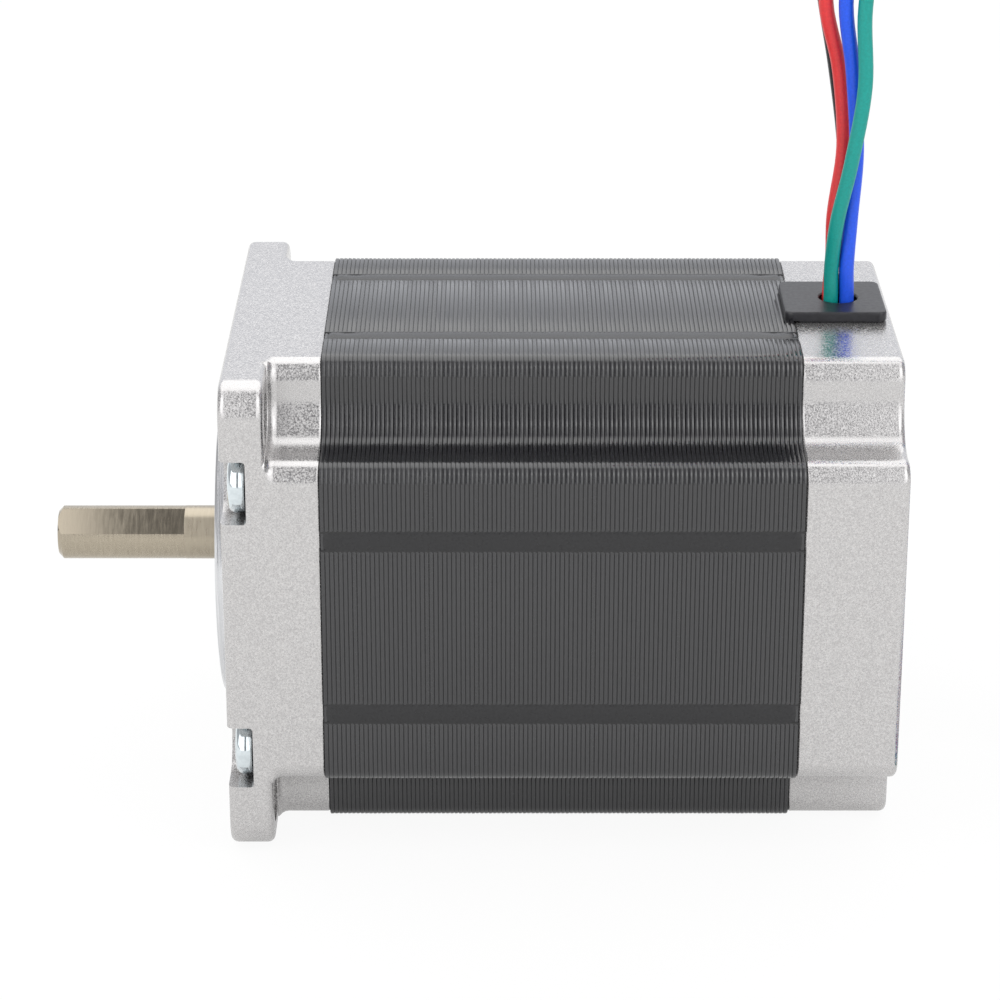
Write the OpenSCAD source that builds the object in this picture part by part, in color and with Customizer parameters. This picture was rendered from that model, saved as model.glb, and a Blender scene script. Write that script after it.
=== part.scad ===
// Two-phase hybrid stepper motor with a square flange, single D-cut shaft and four free leads.
// Origin: centre of the flange's front face, on the shaft axis.
// +X runs from the flange to the rear cover, +Z is the side where the leads come out.

/* [Covers] */
// Width across the flats of the flange and both covers
frame_w = 56.4; // [56:0.1:58]
// Length of the front cover behind the flange's front face
front_cover_l = 11; // [10:0.5:14]
// Length of the rear cover
rear_cover_l = 11.5; // [11.5:0.5:15]
// Thickness of the square flange
flange_t = 5; // [4.8:0.1:6]
// Radius of the flange's four corners
flange_corner_r = 3.8; // [2:0.1:5]
// Bevel that stands for the rounded edges of the castings
edge_r = 0.8; // [0.3:0.1:1]
// Diameter of the centring boss on the flange
pilot_d = 38.1; // [36:0.1:40]
// Height of the centring boss
pilot_h = 1.6; // [1.2:0.1:2.2]
// Distance of the mounting holes from the flange's edges
bolt_inset = 4.63; // [4.5:0.01:5]
// Diameter of the mounting holes
bolt_hole_d = 5.1; // [4.5:0.1:5.5]
// Depth of the corner notches that clear the mounting bolts
notch_depth = 9.2; // [8.8:0.1:9.6]
// Radius of the notches' outer corners
notch_outer_r = 2.1; // [1:0.1:2.5]
// Radius of the notches' inner corners
notch_inner_r = 4; // [2:0.1:4]
// Wall between the flange's front face and the coil space
front_wall_t = 4.2; // [3.8:0.1:4.6]
// Wall between the coil space and the rear face
rear_wall_t = 3; // [2.8:0.1:3.6]
// Width of the shallow round recess in the rear face
rear_recess_d = 20; // [12:1:30]
// Depth of that recess
rear_recess_h = 0.6; // [0.3:0.1:0.8]

/* [Laminations] */
// Thickness of one lamination
lamination_t = 0.5; // [0.35:0.05:0.65]
// Number of laminations in the stator
lamination_count = 107; // [80:1:140]
// How far the laminations stand proud of the covers
stack_proud = 0.2; // [0.1:0.05:0.3]
// Thickness of the yoke, between the coil slots and the flat sides
yoke_t = 4.2; // [4:0.1:4.4]
// Depth of the coil slots behind the pole shoes
slot_depth = 5; // [4.8:0.1:5.2]
// Width of a stator pole
pole_w = 6; // [5.5:0.1:6.5]
// Radial thickness of a pole's shoe
shoe_t = 2.15; // [1.8:0.05:2.4]
// Opening between neighbouring pole shoes
slot_opening = 1.9; // [1.6:0.1:2.2]
// Width of a weld seam along the laminations
bead_w = 2; // [1.2:0.1:3]
// Depth of the groove under a weld seam
bead_groove = 0.3; // [0.2:0.05:0.5]
// Distance of the weld seams from the middle of each side
bead_offset = 10.5; // [8:0.5:12]

/* [Windings] */
// Wall of the plastic slot lining
liner_t = 0.35; // [0.2:0.05:0.45]
// Plate of the insulator on each end of the laminations
end_plate_t = 1; // [0.6:0.1:1.2]
// Rim that closes the insulator outside the coils
insulator_rim_t = 1.2; // [0.8:0.1:1.4]
// Air between a coil and the middle of its slot
coil_side_gap = 1.5; // [1.4:0.1:2.5]
// Air between a coil's outer corners and the slot's lining
coil_top_gap = 0.3; // [0.2:0.1:1]
// Thickness of the ring-shaped connection board
board_t = 0.8; // [0.6:0.1:1]

/* [Rotor] */
// Diameter of the output shaft and both journals
shaft_d = 6.35; // [6.2:0.05:6.5]
// Length of the shaft in front of the flange face
shaft_out = 21.5; // [18:0.5:30]
// Length of the flat on the shaft
flat_l = 15; // [8:0.5:16]
// Height across the shaft at its flat
flat_h = 5.8; // [5.5:0.05:6]
// Angle that the flat faces, from level on the -Y side towards +Z
flat_angle = 50; // [0:5:355]
// Diameter of the shaft where the cores sit
core_seat_d = 10; // [9.5:0.1:11]
// Diameter of the shoulders that stop the bearings
shoulder_d = 8.6; // [8:0.1:9]
// Radial gap between rotor and stator teeth
air_gap = 0.05; // [0.04:0.01:0.1]
// Depth of the small teeth on rotor and stator
tooth_depth = 0.8; // [0.5:0.05:1]
// Thickness of each ring magnet
magnet_t = 3; // [2:0.1:4]
// Thickness of the spacer between the two rotor sections
spacer_t = 1.6; // [1:0.1:3]

/* [Bearings] */
// Outside diameter of both ball bearings
bearing_d = 19.05; // [19:0.05:19.5]
// Width of both ball bearings
bearing_w = 7.14; // [6.9:0.02:7.3]
// Diameter of a bearing ball
ball_d = 3.175; // [2.9:0.025:3.2]
// Number of balls in a bearing
ball_count = 8; // [6:1:8]
// Wall of the castings round the bearings
hub_wall = 3; // [2:0.1:3.4]
// Lip that holds the front bearing, measured back from the boss's face
lip_t = 1.8; // [1.7:0.05:2.2]
// Room behind the rear bearing for the wave washer
washer_room = 0.96; // [0.8:0.02:1.2]
// Thickness of the wave washer's strip
washer_t = 0.3; // [0.2:0.05:0.4]

/* [Screws] */
// Diameter of the assembly screws
screw_d = 4; // [3:0.1:4]
// Diameter of the screw heads
screw_head_d = 6.8; // [6:0.1:6.9]
// Height of the screw heads
screw_head_h = 2.2; // [1.8:0.1:2.6]
// Depth of the pockets for the screw heads
pocket_h = 2.9; // [2.7:0.05:3.2]
// Distance of the screws from the two sides that the pockets open to
screw_side_inset = 3.6; // [3.4:0.1:3.9]
// Distance of the screws from the floor of the corner notches
screw_notch_inset = 2.9; // [2.6:0.1:3.4]

/* [Leads] */
// Diameter over the lead's insulation
lead_d = 1.7; // [1.4:0.05:1.7]
// Diameter of the tinned conductor
conductor_d = 0.9; // [0.6:0.05:1]
// Length of the tinned ends
tinned_l = 6; // [4:0.5:10]
// Distance of the lead hole from the rear face
lead_exit_inset = 6; // [5.8:0.1:6.2]
// Width of the grommet's plate
grommet_w = 11.6; // [10:0.2:14]
// Length of the grommet's plate along the shaft axis
grommet_l = 11.7; // [10.5:0.1:12.3]
// Thickness of the grommet's plate
grommet_t = 1; // [0.8:0.1:1.5]
// Diameter of the hole for the leads
lead_hole_d = 4.6; // [4.4:0.1:5]

/* [Hidden] */
$fn = 96;

// Counts that make the motor a 1.8 degree one
pole_count = 8;
teeth_per_pole = 6;
rotor_teeth = 50;
tooth_width_share = 0.45;

// Overrun of every cut, the clearance of parts that slip together, and the least air beside a winding
cut = 0.5;
slip = 0.05;
wire_gap = 0.05;

// Places along the shaft axis
stack_l = lamination_count * lamination_t;
stack_x0 = front_cover_l;
stack_x1 = stack_x0 + stack_l;
body_l = stack_x1 + rear_cover_l;
rear_space_x1 = body_l - rear_wall_t;

// The castings' notched outline and the slightly larger one of the laminations
stack_w = frame_w + 2 * stack_proud;
bead_sink = 0.05;
notch_floor = frame_w / 2 - notch_depth;
bolt_place = frame_w / 2 - bolt_inset;

// Coil space in both covers
rim_gap = 0.2;
slot_r = stack_w / 2 - yoke_t;
rim_r = slot_r + insulator_rim_t;
coil_space_r = rim_r + rim_gap;

// Rotor and stator bore
shoe_back = slot_r - slot_depth;
stator_bore_r = shoe_back - shoe_t;
rotor_r = stator_bore_r - air_gap;
tooth_pitch_angle = 360 / rotor_teeth;
pole_angle = 360 / pole_count;
rotor_inset = 0.55;
rotor_x0 = stack_x0 + rotor_inset;
rotor_l = stack_l - 2 * rotor_inset;
core_l = (rotor_l - spacer_t - 2 * magnet_t) / 4;
front_magnet_x0 = rotor_x0 + core_l;
spacer_x0 = front_magnet_x0 + magnet_t + core_l;
rear_magnet_x0 = spacer_x0 + spacer_t + core_l;
magnet_inset = 2;
core_dish_h = 1.6;
core_rim_t = 5;
core_dish_r = rotor_r - core_rim_t;

// Bearings and the seats that hold them
bearing_r = bearing_d / 2;
front_bearing_x0 = lip_t - pilot_h;
front_bearing_x1 = front_bearing_x0 + bearing_w;
bearing_floor_t = 2;
bearing_floor_x = body_l - bearing_floor_t;
rear_bearing_x1 = bearing_floor_x - washer_room;
rear_bearing_x0 = rear_bearing_x1 - bearing_w;
hub_r = bearing_r + hub_wall;
hub_overhang = 0.3;
pitch_r = (shaft_d + bearing_d) / 4;
race_gap = 0.05;
race_r = ball_d / 2 + race_gap;
ring_step = 1.2;
inner_ring_r = pitch_r - ring_step;
outer_ring_r = pitch_r + ring_step;
shield_t = 0.3;
shield_inset = 0.05;
shield_seat = 0.5;
shield_gap = 0.15;
cage_t = 1.3;
cage_side = 0.4;
cage_gap = 0.12;
lip_hole_r = outer_ring_r - shield_gap;
washer_waves = 3;

// Shaft
rear_shaft_end = rear_bearing_x1 + slip;
tip_chamfer = 0.5;
flat_relief = 0.02;
flat_part_r = shaft_d / 2 - flat_relief;
grinding_groove = 0.2;

// Screws
screw_y = frame_w / 2 - screw_side_inset;
screw_z = notch_floor - screw_notch_inset;
screw_hole_gap = 0.15;
pocket_gap = 0.3;
screw_end_inset = 1.5;
dome_share = 0.75;
cross_w = 0.9;
cross_l = 3.6;
cross_h = 1.2;

// Windings
coil_in = shoe_back + liner_t + wire_gap;
coil_leg_in = pole_w / 2 + liner_t + wire_gap;
coil_leg_out = coil_in * tan(pole_angle / 2) - coil_side_gap;
coil_t = coil_leg_out - coil_leg_in;
coil_out = sqrt(pow(slot_r - liner_t - coil_top_gap, 2) - pow(coil_leg_out, 2));
coil_h = coil_out - coil_in;
coil_corner_r = 2.4;
coil_inner_corner_r = 3 * wire_gap;
coil_end = end_plate_t + wire_gap + coil_t;
liner_half_l = stack_l / 2 - slip;
insulator_tooth_cover = 1.15;
finger_t = 1;
finger_side_gap = 0.15;
finger_rise = 0.1;
finger_half_w = coil_leg_out - finger_side_gap;
finger_h = coil_end + finger_rise;

// Connection board and the leads' inner ends
lead_x = body_l - lead_exit_inset;
joint_gap = 0.05;
lead_step = board_t / 2 + joint_gap + conductor_d / 2;
board_x0 = lead_x - board_t / 2;
board_r = rim_r - rim_gap;
board_hole_r = hub_r + 0.7;
board_flat_half_w = 5.2;
board_flat_depth = 2.6;
board_flat_z = board_r - board_flat_depth;
rim_drop = 1.65;
rim_h = coil_end - rim_drop;
post_angle = 14;
joint_h = 1.6;
joint_z0 = board_flat_z - joint_h - 2 * joint_gap;
conductor_out = 0.8;
lead_inner_z = board_flat_z + conductor_out;
joint_w = 1.5;
joint_t = 1.15;

// Grommet in its slot, which is open to the laminations
grommet_slot_w = 7.6;
grommet_rear_gap = 0.8;
grommet_corner_r = 0.6;
grommet_x1 = body_l - grommet_rear_gap;
grommet_x0 = grommet_x1 - grommet_l;
lip_w = 9;
lip_h = 0.8;
lip_drop = 1.4;
grommet_lip_z = coil_space_r - lip_drop;
stack_top = stack_w / 2;
cover_top = frame_w / 2;

// The leads' routes: up through the grommet, over in one arch, down to the surface the motor lies on,
// and back beside it in one bend. Points are chosen by hand.
floor_z = -27.5;
front_row_x = lead_x - lead_step;
rear_row_x = lead_x + lead_step;

green_start = [[front_row_x, -lead_step, lead_inner_z], [front_row_x, -lead_step, 30]];
blue_start = [[rear_row_x, -lead_step, lead_inner_z], [rear_row_x, -lead_step, 30]];
red_start = [[front_row_x, lead_step, lead_inner_z], [front_row_x, lead_step, 30]];
black_start = [[rear_row_x, lead_step, lead_inner_z], [rear_row_x, lead_step, 30]];

green_rest = [[69.05, -0.9, 33.5], [69.4, -1.8, 39], [70.7, -2.4, 46], [72, -2, 55], [71.8, -1, 64],
    [73.4, -0.5, 74.4], [78.1, 0, 79.1], [84.5, 0, 80.8], [90.9, 0, 79.1], [95.6, 0, 74.4],
    [97.3, 0, 66], [98.4, 0, 24], [97.3, 0, -16], [97.3, -3, -24], [97.3, -11, floor_z],
    [97.3, -30, floor_z], [101.4, -40, floor_z], [111.4, -44, floor_z], [121.4, -40, floor_z],
    [125.5, -30, floor_z], [125.5, 22, floor_z]];
blue_rest = [[70.8, -0.9, 33.5], [71.1, -0.4, 39], [71.5, -0.2, 47], [70.8, 0, 56], [69.7, 0, 65],
    [71.5, 0, 75.5], [77, 0, 81], [84.5, 0, 83], [92, 0, 81], [97.5, 0, 75.5],
    [99.5, 0, 66], [100.6, 0, 24], [99.5, 0, -16], [99.5, -3, -24], [99.5, -11, floor_z],
    [99.5, -30, floor_z], [103, -38.4, floor_z], [111.4, -41.9, floor_z], [119.8, -38.4, floor_z],
    [123.3, -30, floor_z], [123.3, 19, floor_z]];
red_rest = [[69.3, 1, 34], [69.3, 1.2, 39], [70.2, 1.8, 47], [69.4, 1.9, 56], [67.5, 1.2, 65],
    [69.6, 0.5, 76.6], [75.9, 0, 82.9], [84.5, 0, 85.2], [93.1, 0, 82.9], [99.4, 0, 76.6],
    [101.7, 0, 66], [102.8, 0, 24], [101.7, 0, -16], [101.7, -3, -24], [101.7, -11, floor_z],
    [101.7, -30, floor_z], [104.5, -36.9, floor_z], [111.4, -39.7, floor_z], [118.3, -36.9, floor_z],
    [121.1, -30, floor_z], [121.1, 21, floor_z]];
black_rest = [[71, 1.5, 36], [70.6, 2.8, 41], [70.4, 3.6, 47], [69.1, 3.7, 56], [67.4, 3, 65],
    [66.8, 2.4, 71], [67.5, 1, 77.7], [74.8, 0, 84.8], [84.5, 0, 87.4], [94.2, 0, 84.8],
    [101.3, 0, 77.7], [103.9, 0, 66], [105, 0, 24], [103.9, 0, -16], [103.9, -3, -24],
    [103.9, -11, floor_z], [103.9, -30, floor_z], [106.1, -35.3, floor_z], [111.4, -37.5, floor_z],
    [116.7, -35.3, floor_z], [118.9, -30, floor_z], [118.9, 17, floor_z]];

green_route = concat(green_start, green_rest);
blue_route = concat(blue_start, blue_rest);
red_route = concat(red_start, red_rest);
black_route = concat(black_start, black_rest);
lead_routes = [red_route, black_route, blue_route, green_route];
lead_sides = 8;

// Colours
cast_aluminium = "#c9ccd1";
black_lamination = "#3d3b3e";
steel = "#b9b4aa";
zinc = "#c4ccd6";
copper = "#b4632f";
magnet_grey = "#5a5a60";
white_plastic = "#e6e2d6";
board_green = "#2f7a4d";
rubber_black = "#26272b";
tin = "#cfd2d4";
brass = "#c79a3d";

// Small shapes that several parts share

// Stands a shape drawn in the Y-Z plane up along the shaft axis from x
module along_x(x = 0) {
    translate([x, 0, 0]) rotate([90, 0, 90]) children();
}

module rod_x(x0, x1, r) {
    along_x(x0) cylinder(h = x1 - x0, r = r);
}

module tube_x(x0, x1, r_in, r_out) {
    difference() {
        rod_x(x0, x1, r_out);
        rod_x(x0 - cut, x1 + cut, r_in);
    }
}

module rounded_rect(w, h, r) {
    square([w - 2 * r, h], center = true);
    square([w, h - 2 * r], center = true);
    for (sx = [-1, 1], sy = [-1, 1])
        translate([sx * (w / 2 - r), sy * (h / 2 - r)]) circle(r = r);
}

// Square with a rounded notch in each corner, for the covers and the laminations
module notched_outline(w) {
    inner = w / 2 - notch_depth;
    difference() {
        union() {
            rounded_rect(w, 2 * inner, notch_outer_r);
            rounded_rect(2 * inner, w, notch_outer_r);
            square(2 * (inner + notch_inner_r), center = true);
        }
        for (sx = [-1, 1], sy = [-1, 1])
            translate([sx * (inner + notch_inner_r), sy * (inner + notch_inner_r)])
                circle(r = notch_inner_r);
    }
}

module at_screws() {
    for (sy = [-1, 1], sz = [-1, 1]) translate([sy * screw_y, sz * screw_z]) children();
}

// Covers

module flange() {
    hull() {
        along_x(edge_r) linear_extrude(flange_t - 2 * edge_r)
            rounded_rect(frame_w, frame_w, flange_corner_r, $fn = 32);
        along_x(0) linear_extrude(flange_t)
            rounded_rect(frame_w - 2 * edge_r, frame_w - 2 * edge_r, flange_corner_r - edge_r, $fn = 32);
    }
}

module front_cover() {
    hub_x1 = front_bearing_x1 + hub_overhang;
    pocket_r = screw_head_d / 2 + pocket_gap;
    color(cast_aluminium) difference() {
        union() {
            flange();
            along_x(flange_t - edge_r) linear_extrude(front_cover_l - flange_t + edge_r)
                notched_outline(frame_w);
            rod_x(-pilot_h, edge_r, pilot_d / 2);
        }
        difference() {
            rod_x(front_wall_t, front_cover_l + cut, coil_space_r);
            rod_x(front_wall_t - cut, hub_x1, hub_r);
        }
        rod_x(front_bearing_x0, front_cover_l + cut, bearing_r);
        rod_x(-pilot_h - cut, front_bearing_x0 + cut, lip_hole_r);
        for (sy = [-1, 1], sz = [-1, 1])
            translate([0, sy * bolt_place, sz * bolt_place])
                rod_x(-cut, flange_t + cut, bolt_hole_d / 2);
        along_x(-cut) linear_extrude(front_cover_l + 2 * cut)
            at_screws() circle(r = screw_d / 2 + screw_hole_gap);
        along_x(-cut) linear_extrude(pocket_h + cut) at_screws() circle(r = pocket_r);
        for (sy = [-1, 1], sz = [-1, 1])
            translate([pocket_h / 2 - cut / 2, sy * (frame_w / 2 + cut + screw_y) / 2, sz * screw_z])
                cube([pocket_h + cut, frame_w / 2 + cut - screw_y, 2 * pocket_r], center = true);
    }
}

module rear_cover() {
    hub_x0 = rear_bearing_x0 - hub_overhang;
    slot_l = rear_space_x1 - stack_x1;
    slot_floor = grommet_lip_z - slip;
    color(cast_aluminium) difference() {
        union() {
            along_x(stack_x1) linear_extrude(rear_cover_l - edge_r) notched_outline(frame_w);
            along_x(body_l - edge_r)
                linear_extrude(edge_r, scale = (frame_w - 2 * edge_r) / frame_w)
                    notched_outline(frame_w, $fn = 32);
        }
        difference() {
            rod_x(stack_x1 - cut, rear_space_x1, coil_space_r);
            rod_x(hub_x0, rear_space_x1 + cut, hub_r);
        }
        rod_x(hub_x0 - cut, bearing_floor_x, bearing_r + slip);
        rod_x(body_l - rear_recess_h, body_l + cut, rear_recess_d / 2);
        along_x(stack_x1 - cut) linear_extrude(rear_cover_l + 2 * cut) at_screws() circle(r = screw_d / 2);
        translate([stack_x1 - cut, -grommet_slot_w / 2, slot_floor])
            cube([slot_l + cut, grommet_slot_w, frame_w / 2]);
    }
}

// Stator

// Room between two poles of the stack, drawn back from every wall by inset
module slot_shape(inset) {
    difference() {
        circle(r = slot_r - inset);
        circle(r = (shoe_back + inset) / cos(pole_angle / 2), $fn = pole_count);
        for (i = [0:pole_count - 1])
            rotate((i + 0.5) * pole_angle) translate([0, -pole_w / 2 - inset])
                square([slot_r + cut, pole_w + 2 * inset]);
    }
}

module tooth_gaps(r, gap_w) {
    for (i = [0:pole_count - 1], k = [1:teeth_per_pole - 1])
        rotate((i + 0.5) * pole_angle + (k - teeth_per_pole / 2) * tooth_pitch_angle)
            translate([r - cut, -gap_w / 2]) square([tooth_depth + cut, gap_w]);
}

module stator_stack() {
    gap_w = stator_bore_r * tooth_pitch_angle * PI / 180 * (1 - tooth_width_share);
    color(black_lamination) along_x(stack_x0) linear_extrude(stack_l) difference() {
        notched_outline(stack_w);
        circle(r = stator_bore_r);
        tooth_gaps(stator_bore_r, gap_w);
        slot_shape(0);
        for (i = [0:pole_count - 1])
            rotate(i * pole_angle) translate([stator_bore_r - cut, -slot_opening / 2])
                square([shoe_back / cos(pole_angle / 2) - stator_bore_r + cut, slot_opening]);
        at_screws() circle(r = screw_d / 2 + screw_hole_gap);
        weld_places() square([2 * bead_groove, bead_w], center = true);
    }
}

module weld_places() {
    for (a = [0:90:270], s = [-1, 1]) rotate(a) translate([stack_w / 2, s * bead_offset]) children();
}

module weld_seams() {
    color(black_lamination) along_x(stack_x0) linear_extrude(stack_l)
        weld_places() translate([-bead_groove, -bead_w / 2]) square([bead_groove - bead_sink, bead_w]);
}

module assembly_screws() {
    head_x = pocket_h - screw_head_h;
    dome_r = screw_head_d * dome_share;
    color(zinc) for (sy = [-1, 1], sz = [-1, 1]) translate([0, sy * screw_y, sz * screw_z]) {
        difference() {
            intersection() {
                rod_x(head_x, pocket_h, screw_head_d / 2);
                translate([head_x + dome_r, 0, 0]) sphere(r = dome_r);
            }
            for (a = [0, 90]) rotate([a, 0, 0])
                translate([head_x, 0, 0]) cube([2 * cross_h, cross_w, cross_l], center = true);
        }
        rod_x(pocket_h, body_l - screw_end_inset, screw_d / 2);
    }
}

// Windings and their insulators

module coil(i) {
    rotate([(i + 0.5) * pole_angle, 0, 0])
        translate([stack_x0 + stack_l / 2, 0, coil_in]) linear_extrude(coil_h) difference() {
            rounded_rect(stack_l + 2 * coil_end, 2 * coil_leg_out, coil_corner_r);
            rounded_rect(stack_l + 2 * (coil_end - coil_t), 2 * coil_leg_in, coil_inner_corner_r);
        }
}

module phase_a_coils() {
    color(copper) for (i = [0:2:pole_count - 1]) coil(i);
}

module phase_b_coils() {
    color(copper) for (i = [1:2:pole_count - 1]) coil(i);
}

// Insulator on one end of the laminations, drawn along +Z from the end face outwards
module insulator_end() {
    linear_extrude(end_plate_t) difference() {
        circle(r = rim_r);
        circle(r = stator_bore_r + insulator_tooth_cover);
        slot_shape(liner_t);
    }
    linear_extrude(rim_h) difference() {
        circle(r = rim_r);
        circle(r = slot_r);
    }
    linear_extrude(finger_h) for (i = [0:pole_count - 1])
        rotate((i + 0.5) * pole_angle) translate([shoe_back + liner_t - finger_t, -finger_half_w])
            square([finger_t, 2 * finger_half_w]);
}

module slot_liners() {
    linear_extrude(liner_half_l) difference() {
        slot_shape(0);
        slot_shape(liner_t);
    }
}

module front_insulator() {
    color(white_plastic) {
        along_x(stack_x0) mirror([0, 0, 1]) insulator_end();
        along_x(stack_x0) slot_liners();
    }
}

module rear_insulator() {
    post_x0 = stack_x1 + rim_h;
    color(white_plastic) {
        along_x(stack_x1) insulator_end();
        along_x(stack_x1 - liner_half_l) slot_liners();
        along_x(post_x0 - slip) linear_extrude(board_x0 - post_x0 + slip) intersection() {
            difference() {
                circle(r = rim_r);
                circle(r = slot_r);
            }
            for (a = [45:90:315]) rotate(a - post_angle / 2)
                polygon([[0, 0], [2 * rim_r, 0], 2 * rim_r * [cos(post_angle), sin(post_angle)]]);
        }
    }
}

module connection_board() {
    color(board_green) along_x(board_x0) linear_extrude(board_t) difference() {
        circle(r = board_r);
        circle(r = board_hole_r);
        translate([-board_flat_half_w, board_flat_z]) square([2 * board_flat_half_w, board_r]);
    }
}

// Conductors inside the rear cover and the solder that holds them to the board
module solder_joints() {
    color(tin) for (sx = [-1, 1], sy = [-1, 1]) {
        translate([lead_x + sx * lead_step, sy * lead_step, joint_z0])
            cylinder(h = lead_inner_z - joint_z0, d = conductor_d);
        translate([lead_x + sx * (board_t / 2 + joint_t / 2), sy * lead_step, joint_z0 + joint_h / 2])
            cube([joint_t, joint_w, joint_h], center = true);
    }
}

// Grommet and leads

module grommet_plate(x0, x1, z0, h, r) {
    translate([(x0 + x1) / 2, 0, z0]) linear_extrude(h) rounded_rect(x1 - x0, grommet_w, r);
}

module grommet() {
    stem_x0 = stack_x1 + slip;
    stem_x1 = rear_space_x1 - slip;
    stem_w = grommet_slot_w - 2 * slip;
    lip_x0 = stack_x1 + rim_h + rim_gap;
    color(rubber_black) difference() {
        union() {
            grommet_plate(grommet_x0, grommet_x1, stack_top, grommet_t, grommet_corner_r);
            grommet_plate(stem_x0, grommet_x1, cover_top, stack_proud + grommet_t / 2, grommet_corner_r);
            translate([stem_x0, -stem_w / 2, coil_space_r])
                cube([stem_x1 - stem_x0, stem_w, stack_top - coil_space_r]);
            translate([lip_x0, -stem_w / 2, grommet_lip_z])
                cube([stem_x1 - lip_x0, stem_w, stack_top - grommet_lip_z]);
            translate([lip_x0, -lip_w / 2, grommet_lip_z])
                cube([stem_x1 - lip_x0, lip_w, lip_h]);
        }
        translate([lead_x, 0, grommet_lip_z - cut])
            cylinder(h = stack_top - grommet_lip_z + grommet_t + 2 * cut, d = lead_hole_d);
    }
}

function unit(v) = v / norm(v);

// Direction of the route at point i
function heading(p, i) =
    i == 0 ? unit(p[1] - p[0])
    : i == len(p) - 1 ? unit(p[i] - p[i - 1])
    : unit(unit(p[i + 1] - p[i]) + unit(p[i] - p[i - 1]));

// Side vector at every point, carried along the route without twist
function sides_along(p, i = 1, found = [[0, 1, 0]]) =
    i == len(p) ? found
    : let (t = heading(p, i), s = found[i - 1])
        sides_along(p, i + 1, concat(found, [unit(s - (s * t) * t)]));

module lead(route) {
    n = len(route);
    sides = sides_along(route);
    points = [for (i = [0:n - 1])
        let (s = sides[i], u = cross(heading(route, i), s))
        for (k = [0:lead_sides - 1])
            let (a = (k + 0.5) * 360 / lead_sides)
            route[i] + lead_d / 2 * (cos(a) * s + sin(a) * u)];
    walls = [for (i = [0:n - 2], k = [0:lead_sides - 1])
        let (a = i * lead_sides + k, b = i * lead_sides + (k + 1) % lead_sides)
        each [[a, b + lead_sides, b], [a, a + lead_sides, b + lead_sides]]];
    start_cap = [for (k = [1:lead_sides - 2]) [0, k, k + 1]];
    end = (n - 1) * lead_sides;
    end_cap = [for (k = [1:lead_sides - 2]) [end, end + k + 1, end + k]];
    polyhedron(points, concat(walls, start_cap, end_cap));
}

module lead_red() {
    color("#e8464b") lead(red_route);
}

module lead_black() {
    color("#1d1d20") lead(black_route);
}

module lead_blue() {
    color("#3c64fa") lead(blue_route);
}

module lead_green() {
    color("#2da596") lead(green_route);
}

module tinned_ends() {
    color(tin) for (route = lead_routes)
        translate(route[len(route) - 1]) rotate([-90, 0, 0]) cylinder(h = tinned_l, d = conductor_d);
}

// Rotor

module rotor_shaft() {
    color(steel) difference() {
        union() {
            along_x(-shaft_out) cylinder(h = tip_chamfer, r1 = flat_part_r - tip_chamfer, r2 = flat_part_r);
            rod_x(-shaft_out + tip_chamfer, -shaft_out + flat_l, flat_part_r);
            rod_x(-shaft_out + flat_l, -pilot_h, shaft_d / 2);
            rod_x(-pilot_h, front_bearing_x0, shaft_d / 2 - grinding_groove);
            rod_x(front_bearing_x0, rear_shaft_end, shaft_d / 2);
            rod_x(front_bearing_x1, rear_bearing_x0, shoulder_d / 2);
            rod_x(rotor_x0, rotor_x0 + rotor_l, core_seat_d / 2);
        }
        rotate([-flat_angle, 0, 0])
            translate([-shaft_out - cut, -shaft_d / 2 - cut, -shaft_d / 2 - cut])
                cube([flat_l + cut, shaft_d - flat_h + cut, shaft_d + 2 * cut]);
    }
}

// One toothed core; turn shifts its teeth, and the dish faces along -X where dish_front is true
module core(x0, turn, dish_front) {
    gap_w = rotor_r * tooth_pitch_angle * PI / 180 * (1 - tooth_width_share);
    color(steel) difference() {
        along_x(x0) linear_extrude(core_l) rotate(turn * tooth_pitch_angle) difference() {
            circle(r = rotor_r);
            circle(d = core_seat_d);
            for (k = [0:rotor_teeth - 1])
                rotate((k + 0.5) * tooth_pitch_angle)
                    translate([rotor_r - tooth_depth, -gap_w / 2]) square([tooth_depth + cut, gap_w]);
        }
        if (dish_front) rod_x(x0 - cut, x0 + core_dish_h, core_dish_r);
        else rod_x(x0 + core_l - core_dish_h, x0 + core_l + cut, core_dish_r);
    }
}

module front_core_north() {
    core(rotor_x0, 0, true);
}

module front_core_south() {
    core(front_magnet_x0 + magnet_t, 0.5, false);
}

module rear_core_south() {
    core(spacer_x0 + spacer_t, 0.5, true);
}

module rear_core_north() {
    core(rear_magnet_x0 + magnet_t, 0, false);
}

module magnet(x0) {
    color(magnet_grey) tube_x(x0, x0 + magnet_t, core_seat_d / 2, rotor_r - magnet_inset);
}

module front_magnet() {
    magnet(front_magnet_x0);
}

module rear_magnet() {
    magnet(rear_magnet_x0);
}

module rotor_spacer() {
    color(brass) tube_x(spacer_x0, spacer_x0 + spacer_t, core_seat_d / 2, rotor_r - magnet_inset);
}

// Ball bearings

module race_groove(mid) {
    along_x(mid) rotate_extrude() translate([pitch_r, 0]) circle(r = race_r, $fn = 48);
}

module bearing_outer(x0) {
    color(steel) difference() {
        rod_x(x0, x0 + bearing_w, bearing_r);
        rod_x(x0 - cut, x0 + bearing_w + cut, outer_ring_r);
        race_groove(x0 + bearing_w / 2);
        rod_x(x0 - cut, x0 + shield_inset + shield_t, outer_ring_r + shield_seat);
        rod_x(x0 + bearing_w - shield_inset - shield_t, x0 + bearing_w + cut, outer_ring_r + shield_seat);
    }
}

module bearing_inner(x0) {
    color(steel) difference() {
        rod_x(x0, x0 + bearing_w, inner_ring_r);
        rod_x(x0 - cut, x0 + bearing_w + cut, shaft_d / 2);
        race_groove(x0 + bearing_w / 2);
    }
}

module at_balls(x0) {
    for (k = [0:ball_count - 1])
        rotate([k * 360 / ball_count, 0, 0]) translate([x0 + bearing_w / 2, 0, pitch_r]) children();
}

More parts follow.
